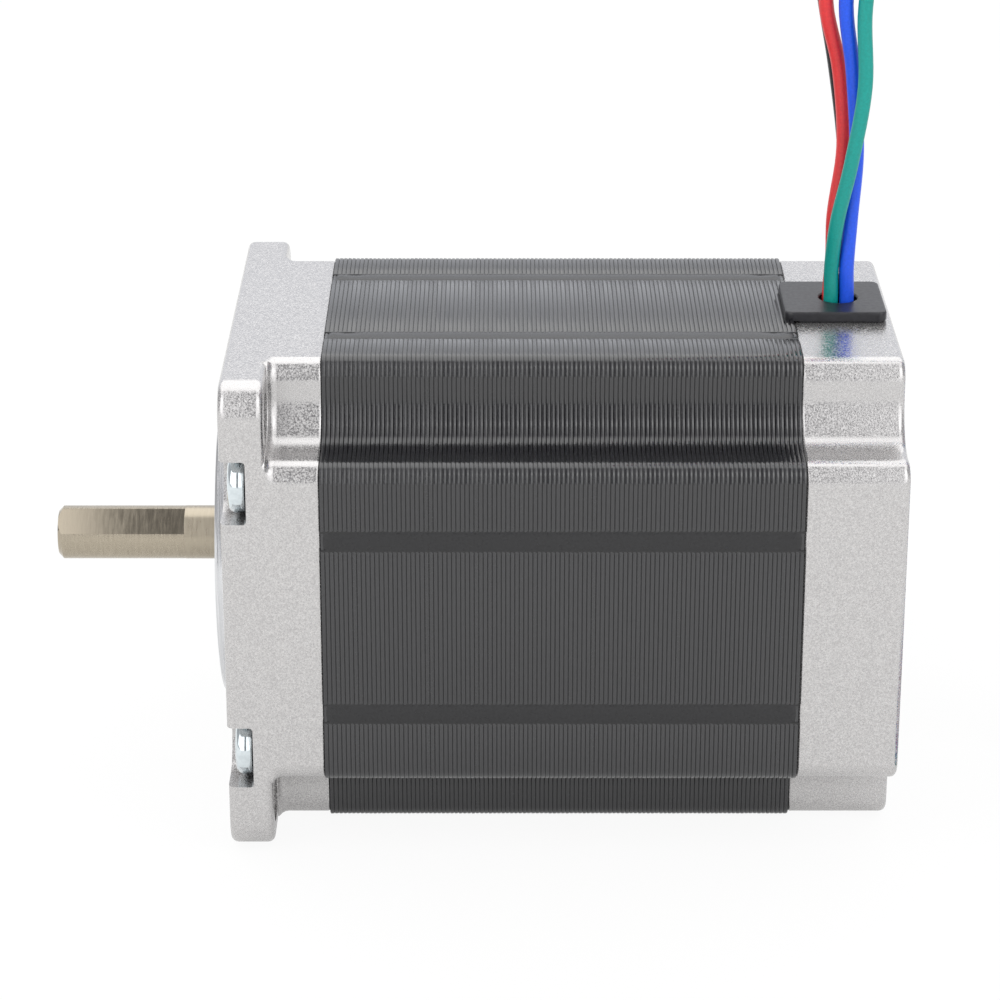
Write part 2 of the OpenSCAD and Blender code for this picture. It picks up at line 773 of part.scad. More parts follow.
module bearing_balls(x0) {
    color(steel) at_balls(x0) sphere(d = ball_d);
}

module bearing_cage(x0) {
    half_w = ball_d / 2 + cage_gap + cage_side;
    mid = x0 + bearing_w / 2;
    color(brass) difference() {
        tube_x(mid - half_w, mid + half_w, pitch_r - cage_t / 2, pitch_r + cage_t / 2);
        at_balls(x0) sphere(r = ball_d / 2 + cage_gap);
    }
}

module bearing_shields(x0) {
    color(steel) for (x = [x0 + shield_inset, x0 + bearing_w - shield_inset - shield_t])
        tube_x(x, x + shield_t, inner_ring_r + shield_gap, outer_ring_r + shield_seat);
}

module front_bearing_outer() {
    bearing_outer(front_bearing_x0);
}

module front_bearing_inner() {
    bearing_inner(front_bearing_x0);
}

module front_bearing_balls() {
    bearing_balls(front_bearing_x0);
}

module front_bearing_cage() {
    bearing_cage(front_bearing_x0);
}

module front_bearing_shields() {
    bearing_shields(front_bearing_x0);
}

module rear_bearing_outer() {
    bearing_outer(rear_bearing_x0);
}

module rear_bearing_inner() {
    bearing_inner(rear_bearing_x0);
}

module rear_bearing_balls() {
    bearing_balls(rear_bearing_x0);
}

module rear_bearing_cage() {
    bearing_cage(rear_bearing_x0);
}

module rear_bearing_shields() {
    bearing_shields(rear_bearing_x0);
}

// Waved spring washer that pushes the rear bearing forwards
module wave_washer() {
    steps = 16 * washer_waves;
    r_in = outer_ring_r + shield_seat / 2;
    r_out = bearing_r - 3 * slip;
    swing = (washer_room - washer_t) / 2 - slip;
    mid = bearing_floor_x - washer_room / 2;
    corners = [[r_in, -washer_t / 2], [r_out, -washer_t / 2], [r_out, washer_t / 2], [r_in, washer_t / 2]];
    points = [for (i = [0:steps - 1], c = corners)
        let (a = i * 360 / steps)
        [mid + c[1] + swing * sin(washer_waves * a), c[0] * cos(a), c[0] * sin(a)]];
    faces = [for (i = [0:steps - 1], k = [0:3])
        let (a = 4 * i + k, b = 4 * i + (k + 1) % 4, n = 4 * steps)
        each [[a, b, (b + 4) % n], [a, (b + 4) % n, (a + 4) % n]]];
    color(steel) polyhedron(points, faces);
}

front_cover();
rear_cover();
stator_stack();
weld_seams();
assembly_screws();
phase_a_coils();
phase_b_coils();
front_insulator();
rear_insulator();
connection_board();
solder_joints();
grommet();
lead_red();
lead_black();
lead_blue();
lead_green();
tinned_ends();
rotor_shaft();
front_core_north();
front_core_south();
rear_core_south();
rear_core_north();
front_magnet();
rear_magnet();
rotor_spacer();
front_bearing_outer();
front_bearing_inner();
front_bearing_balls();
front_bearing_cage();
front_bearing_shields();
rear_bearing_outer();
rear_bearing_inner();
rear_bearing_balls();
rear_bearing_cage();
rear_bearing_shields();
wave_washer();
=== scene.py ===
import math
import bmesh
import bpy
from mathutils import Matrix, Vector


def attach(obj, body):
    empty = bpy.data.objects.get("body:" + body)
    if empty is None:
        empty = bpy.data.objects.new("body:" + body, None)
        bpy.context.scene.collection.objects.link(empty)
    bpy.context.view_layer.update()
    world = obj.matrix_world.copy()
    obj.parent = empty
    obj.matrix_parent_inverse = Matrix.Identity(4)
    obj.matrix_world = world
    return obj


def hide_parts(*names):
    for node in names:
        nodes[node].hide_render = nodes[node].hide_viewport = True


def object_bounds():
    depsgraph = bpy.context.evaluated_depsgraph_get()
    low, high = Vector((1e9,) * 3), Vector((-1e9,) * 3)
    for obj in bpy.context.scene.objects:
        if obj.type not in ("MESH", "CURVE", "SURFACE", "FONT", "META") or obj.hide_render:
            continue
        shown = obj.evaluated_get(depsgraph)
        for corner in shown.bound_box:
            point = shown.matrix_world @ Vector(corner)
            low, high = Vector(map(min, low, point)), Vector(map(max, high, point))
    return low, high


# Two-phase hybrid stepper motor. The shaft axis is X, the flange's front face is at X = 0 and the
# leads leave upwards. Blender works in metres; mm turns the sizes below into them.
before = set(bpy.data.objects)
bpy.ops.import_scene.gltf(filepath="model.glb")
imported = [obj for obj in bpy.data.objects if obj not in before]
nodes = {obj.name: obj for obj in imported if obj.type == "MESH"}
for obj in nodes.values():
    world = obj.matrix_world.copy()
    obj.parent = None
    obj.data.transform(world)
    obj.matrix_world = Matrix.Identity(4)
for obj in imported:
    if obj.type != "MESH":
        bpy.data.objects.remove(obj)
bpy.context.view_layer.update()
mm = 0.001


# Camera
# A long lens a little above the motor, square to its near side. The aim point lies on the motor's
# mid-plane, and the shift puts the lens's axis where the photograph has it.
camera_distance = 410.19 * mm
camera_tilt = math.radians(21.9)
camera_aim = Vector((31.12, 0, 4.08)) * mm
camera_data = bpy.data.cameras.new("camera")
camera_data.sensor_width = 36
camera_data.lens = 124.47
camera_data.shift_x = -0.0023
camera = bpy.data.objects.new("camera", camera_data)
bpy.context.scene.collection.objects.link(camera)
away = Vector((0, -math.cos(camera_tilt), math.sin(camera_tilt)))
camera.location = camera_aim + camera_distance * away
camera.rotation_euler = (math.pi / 2 - camera_tilt, 0, 0)
bpy.context.scene.camera = camera


# Leads
# Four stranded copper leads in soft PVC, soldered to the board inside the rear cover. They leave
# through the grommet, bend over in one arch and lie beside the motor, with bare tinned ends.
lead_radius = 0.85 * mm
lead_x = 70 * mm
inner_z = 23.4
floor_z = -27.5
lead_routes = {
    "green": [(69.1, -0.9, inner_z), (69.1, -0.9, 30),
        (69.05, -0.9, 33.5), (69.4, -1.8, 39), (70.7, -2.4, 46), (72, -2, 55), (71.8, -1, 64),
        (73.4, -0.5, 74.4), (78.1, 0, 79.1), (84.5, 0, 80.8), (90.9, 0, 79.1), (95.6, 0, 74.4),
        (97.3, 0, 66), (98.4, 0, 24), (97.3, 0, -16), (97.3, -3, -24), (97.3, -11, floor_z),
        (97.3, -30, floor_z), (101.4, -40, floor_z), (111.4, -44, floor_z), (121.4, -40, floor_z),
        (125.5, -30, floor_z), (125.5, 22, floor_z)],
    "blue": [(70.9, -0.9, inner_z), (70.9, -0.9, 30),
        (70.8, -0.9, 33.5), (71.1, -0.4, 39), (71.5, -0.2, 47), (70.8, 0, 56), (69.7, 0, 65),
        (71.5, 0, 75.5), (77, 0, 81), (84.5, 0, 83), (92, 0, 81), (97.5, 0, 75.5),
        (99.5, 0, 66), (100.6, 0, 24), (99.5, 0, -16), (99.5, -3, -24), (99.5, -11, floor_z),
        (99.5, -30, floor_z), (103, -38.4, floor_z), (111.4, -41.9, floor_z),
        (119.8, -38.4, floor_z), (123.3, -30, floor_z), (123.3, 19, floor_z)],
    "red": [(69.1, 0.9, inner_z), (69.1, 0.9, 30),
        (69.3, 1, 34), (69.3, 1.2, 39), (70.2, 1.8, 47), (69.4, 1.9, 56), (67.5, 1.2, 65),
        (69.6, 0.5, 76.6), (75.9, 0, 82.9), (84.5, 0, 85.2), (93.1, 0, 82.9), (99.4, 0, 76.6),
        (101.7, 0, 66), (102.8, 0, 24), (101.7, 0, -16), (101.7, -3, -24), (101.7, -11, floor_z),
        (101.7, -30, floor_z), (104.5, -36.9, floor_z), (111.4, -39.7, floor_z),
        (118.3, -36.9, floor_z), (121.1, -30, floor_z), (121.1, 21, floor_z)],
    "black": [(70.9, 0.9, inner_z), (70.9, 0.9, 30),
        (71, 1.5, 36), (70.6, 2.8, 41), (70.4, 3.6, 47), (69.1, 3.7, 56), (67.4, 3, 65),
        (66.8, 2.4, 71), (67.5, 1, 77.7), (74.8, 0, 84.8), (84.5, 0, 87.4), (94.2, 0, 84.8),
        (101.3, 0, 77.7), (103.9, 0, 66), (105, 0, 24), (103.9, 0, -16), (103.9, -3, -24),
        (103.9, -11, floor_z), (103.9, -30, floor_z), (106.1, -35.3, floor_z),
        (111.4, -37.5, floor_z), (116.7, -35.3, floor_z), (118.9, -30, floor_z),
        (118.9, 17, floor_z)],
}
insulation_colours = {
    "green": (0.002, 0.28, 0.24),
    "blue": (0.01, 0.085, 0.72),
    "red": (0.68, 0.035, 0.038),
    "black": (0.01, 0.01, 0.011),
}


def grain_effect():
    """Shared effect: grain of a given size that changes colour, gloss and height a little."""
    group = bpy.data.node_groups.new("fine grain", "ShaderNodeTree")
    sockets = (("Vector", "NodeSocketVector"), ("Grain size", "NodeSocketFloat"),
        ("Detail", "NodeSocketFloat"), ("Dark colour", "NodeSocketColor"),
        ("Light colour", "NodeSocketColor"), ("Lowest roughness", "NodeSocketFloat"),
        ("Highest roughness", "NodeSocketFloat"), ("Height", "NodeSocketFloat"))
    for name, kind in sockets:
        group.interface.new_socket(name, in_out="INPUT", socket_type=kind)
    for name, kind in (("Colour", "NodeSocketColor"), ("Roughness", "NodeSocketFloat"),
            ("Normal", "NodeSocketVector")):
        group.interface.new_socket(name, in_out="OUTPUT", socket_type=kind)
    made, link = group.nodes.new, group.links.new
    inside, outside = made("NodeGroupInput"), made("NodeGroupOutput")
    scale = made("ShaderNodeMath")
    scale.operation = "DIVIDE"
    scale.inputs[0].default_value = 1
    link(inside.outputs["Grain size"], scale.inputs[1])
    noise = made("ShaderNodeTexNoise")
    link(inside.outputs["Vector"], noise.inputs["Vector"])
    link(scale.outputs[0], noise.inputs["Scale"])
    link(inside.outputs["Detail"], noise.inputs["Detail"])
    spread = made("ShaderNodeMapRange")
    spread.inputs["From Min"].default_value = 0.3
    spread.inputs["From Max"].default_value = 0.7
    link(noise.outputs["Fac"], spread.inputs["Value"])
    colour = made("ShaderNodeMix")
    colour.data_type = "RGBA"
    link(spread.outputs["Result"], colour.inputs["Factor"])
    link(inside.outputs["Dark colour"], colour.inputs["A"])
    link(inside.outputs["Light colour"], colour.inputs["B"])
    gloss = made("ShaderNodeMapRange")
    link(spread.outputs["Result"], gloss.inputs["Value"])
    link(inside.outputs["Lowest roughness"], gloss.inputs["To Min"])
    link(inside.outputs["Highest roughness"], gloss.inputs["To Max"])
    bump = made("ShaderNodeBump")
    link(inside.outputs["Height"], bump.inputs["Distance"])
    link(noise.outputs["Fac"], bump.inputs["Height"])
    link(colour.outputs["Result"], outside.inputs["Colour"])
    link(gloss.outputs["Result"], outside.inputs["Roughness"])
    link(bump.outputs["Normal"], outside.inputs["Normal"])
    return group


grain = grain_effect()


def turning_effect():
    """Shared effect: places along the shaft axis, away from it and round it, for tool marks."""
    group = bpy.data.node_groups.new("round the shaft", "ShaderNodeTree")
    group.interface.new_socket("Vector", in_out="INPUT", socket_type="NodeSocketVector")
    group.interface.new_socket("Vector", in_out="OUTPUT", socket_type="NodeSocketVector")
    made, link = group.nodes.new, group.links.new
    inside, outside = made("NodeGroupInput"), made("NodeGroupOutput")
    apart = made("ShaderNodeSeparateXYZ")
    link(inside.outputs["Vector"], apart.inputs["Vector"])
    across = made("ShaderNodeCombineXYZ")
    link(apart.outputs["Y"], across.inputs["Y"])
    link(apart.outputs["Z"], across.inputs["Z"])
    radius = made("ShaderNodeVectorMath")
    radius.operation = "LENGTH"
    link(across.outputs["Vector"], radius.inputs[0])
    angle = made("ShaderNodeMath")
    angle.operation = "ARCTAN2"
    link(apart.outputs["Z"], angle.inputs[0])
    link(apart.outputs["Y"], angle.inputs[1])
    slow = made("ShaderNodeMath")
    slow.operation = "MULTIPLY"
    slow.inputs[1].default_value = 0.4 * mm
    link(angle.outputs[0], slow.inputs[0])
    turned_place = made("ShaderNodeCombineXYZ")
    link(apart.outputs["X"], turned_place.inputs["X"])
    link(radius.outputs["Value"], turned_place.inputs["Y"])
    link(slow.outputs[0], turned_place.inputs["Z"])
    link(turned_place.outputs["Vector"], outside.inputs["Vector"])
    return group


turning = turning_effect()


def finish_of(name, dark, light, roughness, size, height, metallic=0.0, stretch=(1, 1, 1), detail=2,
        ior=1.5, marks=None):
    """A material whose colour, gloss and surface carry the grain, laid out plainly or by marks."""
    material = bpy.data.materials.new(name)
    material.use_nodes = True
    tree = material.node_tree
    shader = tree.nodes["Principled BSDF"]
    shader.inputs["Metallic"].default_value = metallic
    shader.inputs["IOR"].default_value = ior
    place = tree.nodes.new("ShaderNodeTexCoord")
    mapping = tree.nodes.new("ShaderNodeMapping")
    mapping.inputs["Scale"].default_value = stretch
    effect = tree.nodes.new("ShaderNodeGroup")
    effect.node_tree = grain
    effect.name = "grain"
    effect.inputs["Grain size"].default_value = size
    effect.inputs["Detail"].default_value = detail
    effect.inputs["Dark colour"].default_value = (*dark, 1)
    effect.inputs["Light colour"].default_value = (*light, 1)
    effect.inputs["Lowest roughness"].default_value = roughness[0]
    effect.inputs["Highest roughness"].default_value = roughness[1]
    effect.inputs["Height"].default_value = height
    if marks:
        layout = tree.nodes.new("ShaderNodeGroup")
        layout.node_tree = marks
        layout.name = "marks"
        tree.links.new(place.outputs["Object"], layout.inputs["Vector"])
        tree.links.new(layout.outputs["Vector"], mapping.inputs["Vector"])
    else:
        tree.links.new(place.outputs["Object"], mapping.inputs["Vector"])
    tree.links.new(mapping.outputs["Vector"], effect.inputs["Vector"])
    tree.links.new(effect.outputs["Colour"], shader.inputs["Base Color"])
    tree.links.new(effect.outputs["Roughness"], shader.inputs["Roughness"])
    tree.links.new(effect.outputs["Normal"], shader.inputs["Normal"])
    return material


def tinted(colour, share):
    return tuple(share * c for c in colour)


def link_piece(name, mesh):
    piece = bpy.data.objects.new(name, mesh)
    bpy.context.scene.collection.objects.link(piece)
    return piece


def skin(name, rings, wrap=False):
    """A closed piece from rings of points: walls between them, and end caps unless they wrap."""
    build = bmesh.new()
    loops = [[build.verts.new(p) for p in ring] for ring in rings]
    count = len(loops[0])
    pairs = list(zip(loops, loops[1:] + loops[:1] if wrap else loops[1:]))
    for a, b in pairs:
        for i in range(count):
            j = (i + 1) % count
            build.faces.new((a[i], a[j], b[j], b[i]))
    if not wrap:
        build.faces.new(loops[0])
        build.faces.new(loops[-1])
    bmesh.ops.recalc_face_normals(build, faces=build.faces)
    mesh = bpy.data.meshes.new(name)
    build.to_mesh(mesh)
    build.free()
    return link_piece(name, mesh)


def shade_round(piece, sharp_degrees=40):
    """Smooth shading, with edges sharper than the angle kept crisp."""
    piece.data.polygons.foreach_set("use_smooth", [True] * len(piece.data.polygons))
    piece.data.set_sharp_from_angle(angle=math.radians(sharp_degrees))


def eased(route, steps=8):
    """The route as one smooth line through its points."""
    points = [Vector(p) * mm for p in route]
    spans = [(b - a).length for a, b in zip(points, points[1:])]
    headings = [(c - a) / (m + n) for a, c, m, n in zip(points, points[2:], spans, spans[1:])]
    headings.insert(0, (points[1] - points[0]) / spans[0])
    headings.append((points[-1] - points[-2]) / spans[-1])
    line = []
    for a, b, m, n, span in zip(points, points[1:], headings, headings[1:], spans):
        for k in range(steps):
            t = k / steps
            line.append((2 * t ** 3 - 3 * t ** 2 + 1) * a + (3 * t ** 2 - 2 * t ** 3) * b
                + span * ((t ** 3 - 2 * t ** 2 + t) * m + (t ** 3 - t ** 2) * n))
    return line + [points[-1]]


def tube_rings(line, radius, sides=16):
    """Rings of a round tube along the line, carried along it without twist."""
    rings = []
    side = Vector((0, 1, 0))
    for i, point in enumerate(line):
        heading = (line[min(i + 1, len(line) - 1)] - line[max(i - 1, 0)]).normalized()
        side = (side - side.dot(heading) * heading).normalized()
        other = heading.cross(side)
        angles = [2 * math.pi * k / sides for k in range(sides)]
        rings.append([point + radius * (math.cos(a) * side + math.sin(a) * other) for a in angles])
    return rings


tin_finish = finish_of("tinned copper", (0.55, 0.55, 0.56), (0.75, 0.75, 0.76), (0.2, 0.35),
    0.3 * mm, 0.02 * mm, metallic=1.0, stretch=(1, 0.3, 1))
strand_radius = 0.15 * mm
tinned_length = 6 * mm
strand_steps = 18
strand_sides = 8
strand_turns = 0.6
into_lead = 0.03

for hue, route in lead_routes.items():
    line = eased(route)
    lead = skin(hue + "_lead", tube_rings(line, lead_radius))
    shade_round(lead)
    hue_colour = insulation_colours[hue]
    lead.data.materials.append(finish_of(hue + " insulation", tinted(hue_colour, 0.85), hue_colour,
        (0.34, 0.46), 0.25 * mm, 0.006 * mm, ior=1.42))
    build = bmesh.new()
    for strand in range(7):
        around = 2 * math.pi * strand / 6
        reach = 0 if strand == 6 else 2 * strand_radius
        rings = []
        for k in range(strand_steps + 1):
            share = k / strand_steps
            turn = around + 2 * math.pi * strand_turns * share
            along = (share * (1 + into_lead) - into_lead) * tinned_length
            middle = line[-1] + Vector((reach * math.cos(turn), along, reach * math.sin(turn)))
            angles = [2 * math.pi * j / strand_sides for j in range(strand_sides)]
            ring = [middle + strand_radius * Vector((math.cos(a), 0, math.sin(a))) for a in angles]
            rings.append([build.verts.new(point) for point in ring])
        for a, b in zip(rings, rings[1:]):
            for j in range(strand_sides):
                i = (j + 1) % strand_sides
                build.faces.new((a[j], a[i], b[i], b[j]))
        build.faces.new(rings[0])
        build.faces.new(rings[-1])
    bmesh.ops.recalc_face_normals(build, faces=build.faces)
    mesh = bpy.data.meshes.new(hue + "_strands")
    build.to_mesh(mesh)
    build.free()
    strands = link_piece(hue + "_strands", mesh)
    shade_round(strands, 60)
    strands.data.materials.append(tin_finish)
    for piece, node, slot in ((lead, "lead_" + hue, hue + "_insulation"),
            (strands, "tinned_ends", "tin")):
        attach(piece, "stator")
        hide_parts(node)


# Laminations
# 107 stamped steel sheets of 0.5 mm, stacked, welded together and painted black. Stamping rounds
# one edge of each sheet, so the stack shows fine ribs, most of all on its rounded corners.
stack_start = 11
sheet_pitch = 0.5
sheet_count = 107
stack_end = stack_start + sheet_count * sheet_pitch
cover_half = 28.2
stack_half = 28.4
stack_floor = 19.2
cover_floor = 19.35
stack_corner = 2.1
cover_corner = 2.4
notch_round = 5
seam_place = 10.5
seam_gap = 1.6
seam_depth = 0.2


def turn_quarters(quarter):
    """One quarter of an outline repeated on all four sides."""
    points = []
    for k in range(4):
        for y, z in quarter:
            for _ in range(k):
                y, z = -z, y
            points.append((y, z))
    return points


def arc(centre, radius, first, last, steps):
    """Points of an arc from one angle to another, in degrees."""
    angles = [math.radians(first + (last - first) * k / steps) for k in range(steps + 1)]
    return [(centre[0] + radius * math.cos(a), centre[1] + radius * math.sin(a)) for a in angles]


def notched(half, floor, corner, inset=0.0, seams=False):
    """Outline of the square with corner notches down to floor, all drawn in by inset."""
    half, floor = half - inset, floor - inset
    outer, inner = corner - inset, notch_round + inset
    quarter = arc((half - outer, floor - outer), outer, 0, 90, 5)
    quarter += arc((floor + inner, floor + inner), inner, 270, 180, 7)
    quarter += arc((floor - outer, half - outer), outer, 0, 90, 5)
    if seams:
        bottom = 0.6 * seam_gap
        lips = [(half, seam_place - seam_gap), (half - seam_depth, seam_place - bottom),
            (half - seam_depth, seam_place + bottom), (half, seam_place + seam_gap)]
        quarter = lips + quarter + [(z, y) for y, z in reversed(lips)]
    return turn_quarters(quarter)


def at_x(x, outline):
    return [Vector((x, y, z)) * mm for y, z in outline]


def settle(piece):
    """Turns the piece with its modifiers into a plain mesh."""
    graph = bpy.context.evaluated_depsgraph_get()
    graph.update()
    made = piece.evaluated_get(graph)
    mesh = bpy.data.meshes.new_from_object(made, preserve_all_data_layers=True, depsgraph=graph)
    piece.modifiers.clear()
    piece.data = mesh


def stacked_sheets():
    """Geometry nodes: the mesh's one sheet repeated along X, each shifted a little by chance."""
    tree = bpy.data.node_groups.new("stacked sheets", "GeometryNodeTree")
    face = tree.interface
    face.new_socket("Sheet", in_out="INPUT", socket_type="NodeSocketGeometry")
    face.new_socket("Sheets", in_out="INPUT", socket_type="NodeSocketInt")
    face.new_socket("Pitch", in_out="INPUT", socket_type="NodeSocketVector")
    face.new_socket("Shift", in_out="INPUT", socket_type="NodeSocketVector")
    face.new_socket("Seed", in_out="INPUT", socket_type="NodeSocketInt")
    face.new_socket("Finish", in_out="INPUT", socket_type="NodeSocketMaterial")
    face.new_socket("Stack", in_out="OUTPUT", socket_type="NodeSocketGeometry")
    made, link = tree.nodes.new, tree.links.new
    inside, outside = made("NodeGroupInput"), made("NodeGroupOutput")
    row = made("GeometryNodeMeshLine")
    link(inside.outputs["Sheets"], row.inputs["Count"])
    link(inside.outputs["Pitch"], row.inputs["Offset"])
    repeat = made("GeometryNodeInstanceOnPoints")
    link(row.outputs["Mesh"], repeat.inputs["Points"])
    link(inside.outputs["Sheet"], repeat.inputs["Instance"])
    chance = made("FunctionNodeRandomValue")
    chance.data_type = "FLOAT_VECTOR"
    opposite = made("ShaderNodeVectorMath")
    opposite.operation = "SCALE"
    opposite.inputs["Scale"].default_value = -1
    link(inside.outputs["Shift"], opposite.inputs[0])
    link(opposite.outputs[0], chance.inputs["Min"])
    link(inside.outputs["Shift"], chance.inputs["Max"])
    link(inside.outputs["Seed"], chance.inputs["Seed"])
    shift = made("GeometryNodeTranslateInstances")
    link(repeat.outputs["Instances"], shift.inputs["Instances"])
    link(chance.outputs["Value"], shift.inputs["Translation"])
    tone = made("FunctionNodeRandomValue")
    link(inside.outputs["Seed"], tone.inputs["Seed"])
    keep = made("GeometryNodeStoreNamedAttribute")
    keep.domain = "INSTANCE"
    keep.inputs["Name"].default_value = "sheet_tone"
    link(shift.outputs["Instances"], keep.inputs["Geometry"])
    link(tone.outputs["Value"], keep.inputs["Value"])
    real = made("GeometryNodeRealizeInstances")
    link(keep.outputs["Geometry"], real.inputs["Geometry"])
    paint = made("GeometryNodeSetMaterial")
    link(real.outputs["Geometry"], paint.inputs["Geometry"])
    link(inside.outputs["Finish"], paint.inputs["Material"])
    link(paint.outputs["Geometry"], outside.inputs["Stack"])
    return tree


stack_paint = finish_of("black paint between sheets", (0.008, 0.008, 0.0085),
    (0.014, 0.014, 0.015), (0.3, 0.42), 0.22 * mm, 0.01 * mm, ior=1.5)
sheet_profile = [(0.2, 0.3), (0, 0.03), (0.03, -0.12), (0.23, -0.125), (0.42, -0.075),
    (0.45, 0.03)]
sheet_gap = 0.03
sheet_rings = [at_x(stack_start + sheet_gap + x,
    notched(stack_half, stack_floor, stack_corner, inset, seams=True))
    for x, inset in sheet_profile]
sheets = skin("sheet_edges", sheet_rings, wrap=True)
shade_round(sheets, 50)
for edge in sheets.data.edges:
    ends = [sheets.data.vertices[i].co.x for i in edge.vertices]
    edge.use_edge_sharp = abs(ends[0] - ends[1]) < 0.001 * mm
sheet_paint = finish_of("black paint on sheet edges", (0.008, 0.008, 0.0095),
    (0.015, 0.015, 0.0175), (0.14, 0.22), 0.22 * mm, 0.008 * mm, ior=1.72)
sheet_tree = sheet_paint.node_tree
sheet_tone = sheet_tree.nodes.new("ShaderNodeAttribute")
sheet_tone.attribute_name = "sheet_tone"
tone_gloss = sheet_tree.nodes.new("ShaderNodeMapRange")
tone_gloss.inputs["To Min"].default_value = -0.05
tone_gloss.inputs["To Max"].default_value = 0.07
own_gloss = sheet_tree.nodes.new("ShaderNodeMath")
own_gloss.operation = "ADD"
sheet_tree.links.new(sheet_tone.outputs["Fac"], tone_gloss.inputs["Value"])
sheet_tree.links.new(tone_gloss.outputs["Result"], own_gloss.inputs[0])
sheet_tree.links.new(sheet_tree.nodes["grain"].outputs["Roughness"], own_gloss.inputs[1])
sheet_tree.links.new(own_gloss.outputs[0], sheet_tree.nodes["Principled BSDF"].inputs["Roughness"])
stacking = sheets.modifiers.new("stacking", "NODES")
stacking.node_group = stacked_sheets()
stacking_values = {"Sheets": sheet_count, "Pitch": (sheet_pitch * mm, 0, 0),
    "Shift": (0, 0.012 * mm, 0.012 * mm), "Seed": 3, "Finish": sheet_paint}
for item in stacking.node_group.interface.items_tree:
    if item.name in stacking_values:
        stacking[item.identifier] = stacking_values[item.name]
settle(sheets)
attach(sheets, "stator")
nodes["stator_stack"].data.materials.clear()
nodes["stator_stack"].data.materials.append(stack_paint)


# Weld seams
# Eight welds run along the stack and hold the sheets together. They are laid in shallow grooves and
# painted over with the stack; each has a smooth crown and ends in a small crater.
bead_profile = [(-1.3, -0.08), (-1.1, 0), (-0.85, 0.045), (-0.45, 0.075), (0, 0.085), (0.45, 0.075),
    (0.85, 0.045), (1.1, 0), (1.3, -0.08), (0.7, -0.32), (-0.7, -0.32)]
bead_steps = 214
bead_start = stack_start + 0.05
bead_end = stack_end - 0.05
crater_length, crater_depth = 0.7, 0.3
bump_place, bump_reach, bump_height = 1.05, 0.45, 0.1
trench_place, trench_reach, trench_depth = 2.6, 2, 0.12
seam_paint = finish_of("black paint on welds", (0.007, 0.007, 0.008), (0.013, 0.013, 0.0145),
    (0.26, 0.36), 0.3 * mm, 0.01 * mm, ior=1.5)


def bead_ring(x, side, place, phase):
    """One ring of a weld seam, on the side that a quarter turn count gives."""
    from_end = min(x - stack_start, stack_end - x)
    crater = max(0.0, 1 - from_end / crater_length)
    bump = max(0.0, 1 - abs(from_end - bump_place) / bump_reach)
    trench = max(0.0, 1 - abs(from_end - trench_place) / trench_reach)
    ripple = 0.006 * math.sin(2 * math.pi * x / 0.9 + phase) + 0.008 * math.sin(0.55 * x + phase)
    ring = []
    for across, height in bead_profile:
        rise = height
        if height > -0.2:
            rise += ripple - crater_depth * crater
            rise += bump_height * bump * max(0, 1 - abs(across) * 1.4)
            rise -= trench_depth * trench * math.exp(-((across - 0.7) / 0.35) ** 2)
        y, z = place + across, stack_half + max(rise, -crater_depth)
        for _ in range(side):
            y, z = -z, y
        ring.append(Vector((x, y, z)) * mm)
    return ring


for side in range(4):
    for which, place in (("a", -seam_place), ("b", seam_place)):
        phase = 1.7 * side + (0.9 if which == "b" else 0)
        reach = bead_end - bead_start
        bead = skin(f"weld_{side + 1}{which}", [
            bead_ring(bead_start + reach * k / bead_steps, side, place, phase)
            for k in range(bead_steps + 1)])
        shade_round(bead, 70)
        bead.data.materials.append(seam_paint)
        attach(bead, "stator")
        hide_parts("weld_seams")


# Front casting
# Cast aluminium, bead blasted: the square flange and the short notched body behind it are one
# piece. The flange's face and the boss are turned, the mounting and screw holes drilled.
body_end = 76
flange_thickness = 5
flange_corner = 3.8
edge_round = 0.8
boss_radius = 19.05
boss_height = 1.6
boss_edge = 0.3
front_hole_radius = 7.4
hub_radius = 12.525
front_hub_end = 7.64
coil_space_radius = 25.6
bearing_radius = 9.525
bolt_place = 23.57
bolt_hole_radius = 2.55
screw_y, screw_z = 24.6, 16.1
screw_hole_radius = 2.15
thread_radius = 2
pocket_radius = 3.7
pocket_depth = 2.9


def turned(name, profile, centre=(0, 0), sides=96, hollow=False):
    """A round piece: circles along X through the profile's (x, radius) points."""
    rings = [[Vector((x, centre[0] + radius * math.cos(a), centre[1] + radius * math.sin(a))) * mm
        for a in (2 * math.pi * k / sides for k in range(sides))] for x, radius in profile]
    return skin(name, rings, wrap=hollow)


def block(name, low, high):
    """A box between two corners in mm."""
    rings = [[Vector((x, y, z)) * mm for y, z in ((low[1], low[2]), (high[1], low[2]),
        (high[1], high[2]), (low[1], high[2]))] for x in (low[0], high[0])]
    return skin(name, rings)


def combine(piece, other, operation="DIFFERENCE"):
    """An exact union, cut or common part of two solids; the other one goes."""
    step = piece.modifiers.new(operation, "BOOLEAN")
    step.operation = operation
    step.solver = "EXACT"
    step.object = other
    settle(piece)
    bpy.data.objects.remove(other)


def rounded_square(half, corner, inset=0.0):
    half = half - inset
    corner = corner - inset
    return turn_quarters(arc((half - corner, half - corner), corner, 0, 90, 8))


def held_in(ring, half):
    """The ring with nothing outside the square."""
    return [(max(-half, min(half, y)), max(-half, min(half, z))) for y, z in ring]


def soften(piece, width, sharp_degrees=38):
    """Rounds the sharp edges that are left and keeps flat faces flat in the shading."""
    bevel = piece.modifiers.new("soft edges", "BEVEL")
    bevel.width = width
    bevel.segments = 2
    bevel.limit_method = "ANGLE"
    bevel.angle_limit = math.radians(40)
    settle(piece)
    shade_round(piece, sharp_degrees)
    level = piece.modifiers.new("flat faces", "WEIGHTED_NORMAL")
    level.keep_sharp = True
    settle(piece)


